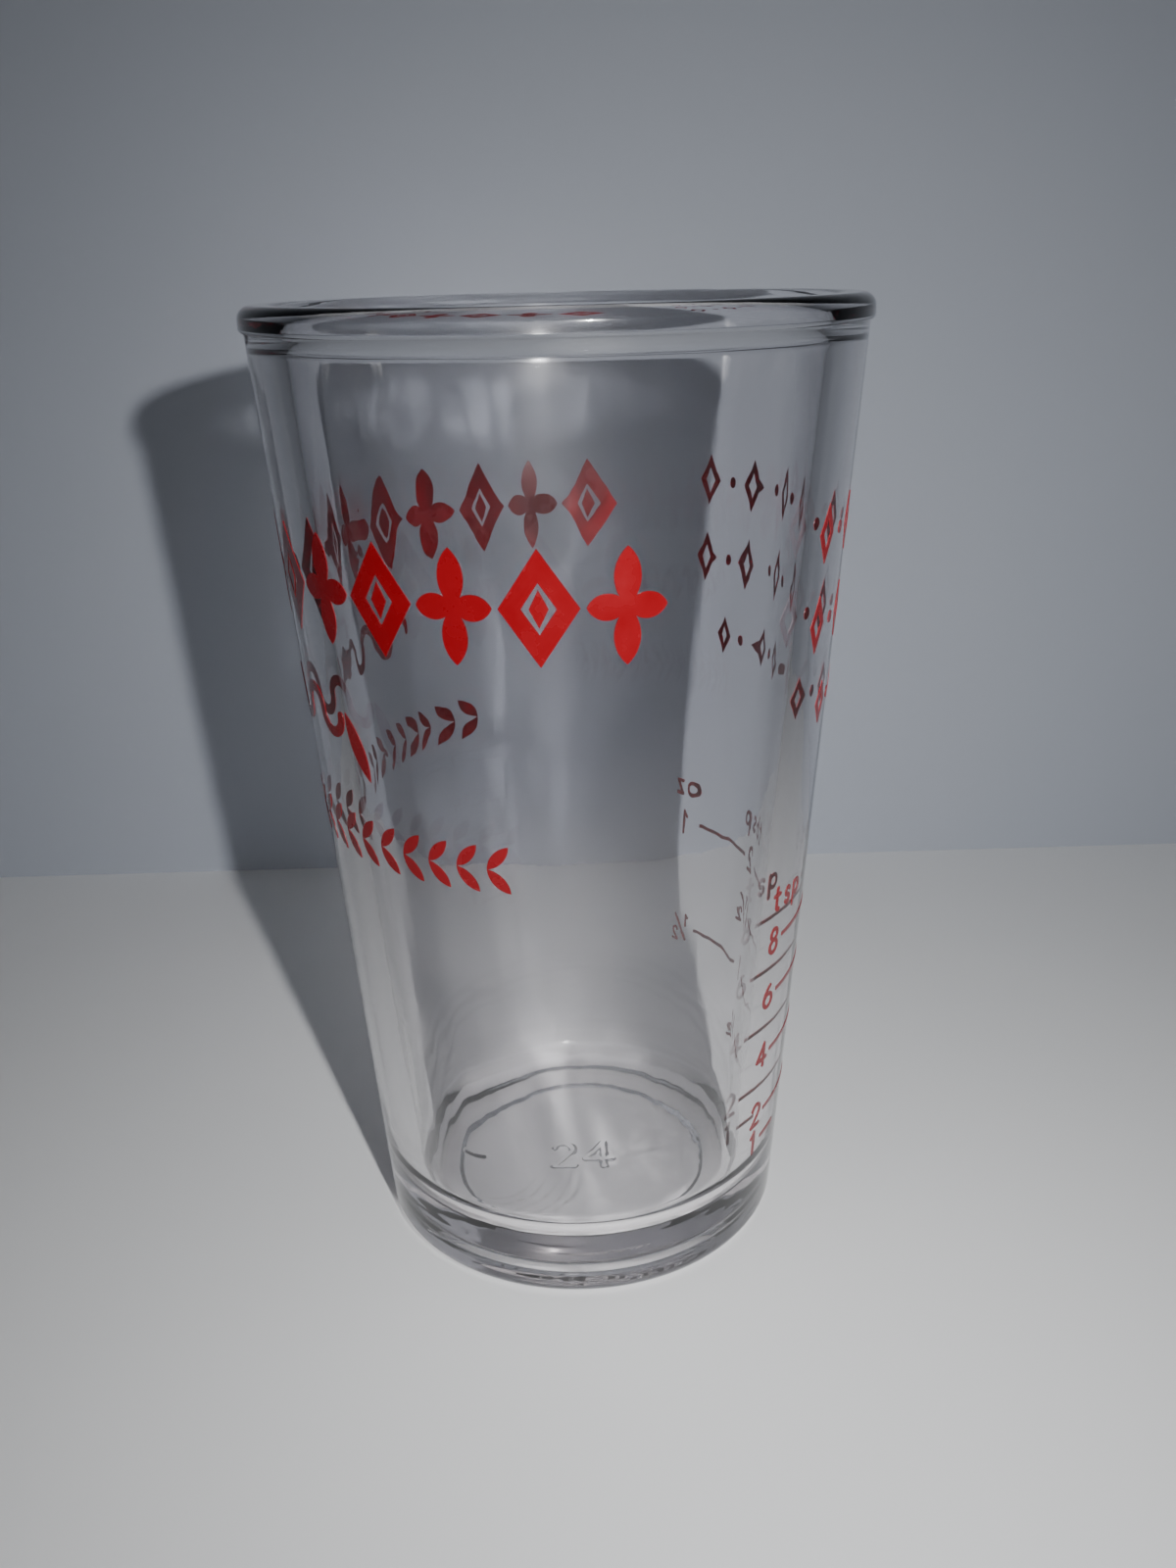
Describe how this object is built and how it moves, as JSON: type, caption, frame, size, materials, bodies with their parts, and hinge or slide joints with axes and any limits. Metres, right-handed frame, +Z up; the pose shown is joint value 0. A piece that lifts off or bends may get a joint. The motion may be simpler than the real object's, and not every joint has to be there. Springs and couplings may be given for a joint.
{
  "type": "measuring tumbler",
  "caption": "Tapered pressed-glass measuring tumbler with a beaded rim, thick base, printed volume scales and ornament bands in red enamel.",
  "frame": {"origin": "centre of the foot ring, on the surface the tumbler stands on", "axes": "+Z up the glass's axis; -Y faces the front, where the large printed band ends"},
  "size_m": [0.0538, 0.0538, 0.089],
  "materials": {
    "clear_glass": "fire-polished pressed soda-lime glass",
    "red_enamel": "glossy fired enamel"
  },
  "bodies": {
    "root": {"tumbler_glass": "clear_glass", "frieze_print": "red_enamel", "flourish_print": "red_enamel", "laurel_print": "red_enamel", "note_upper_print": "red_enamel", "note_middle_print": "red_enamel", "note_lower_print": "red_enamel", "teaspoon_figures": "red_enamel", "tablespoon_figures": "red_enamel", "ounce_figures": "red_enamel", "teaspoon_unit": "red_enamel", "tablespoon_unit": "red_enamel", "ounce_unit": "red_enamel", "spoon_lines": "red_enamel", "ounce_lines": "red_enamel"}
  },
  "joints": []
}
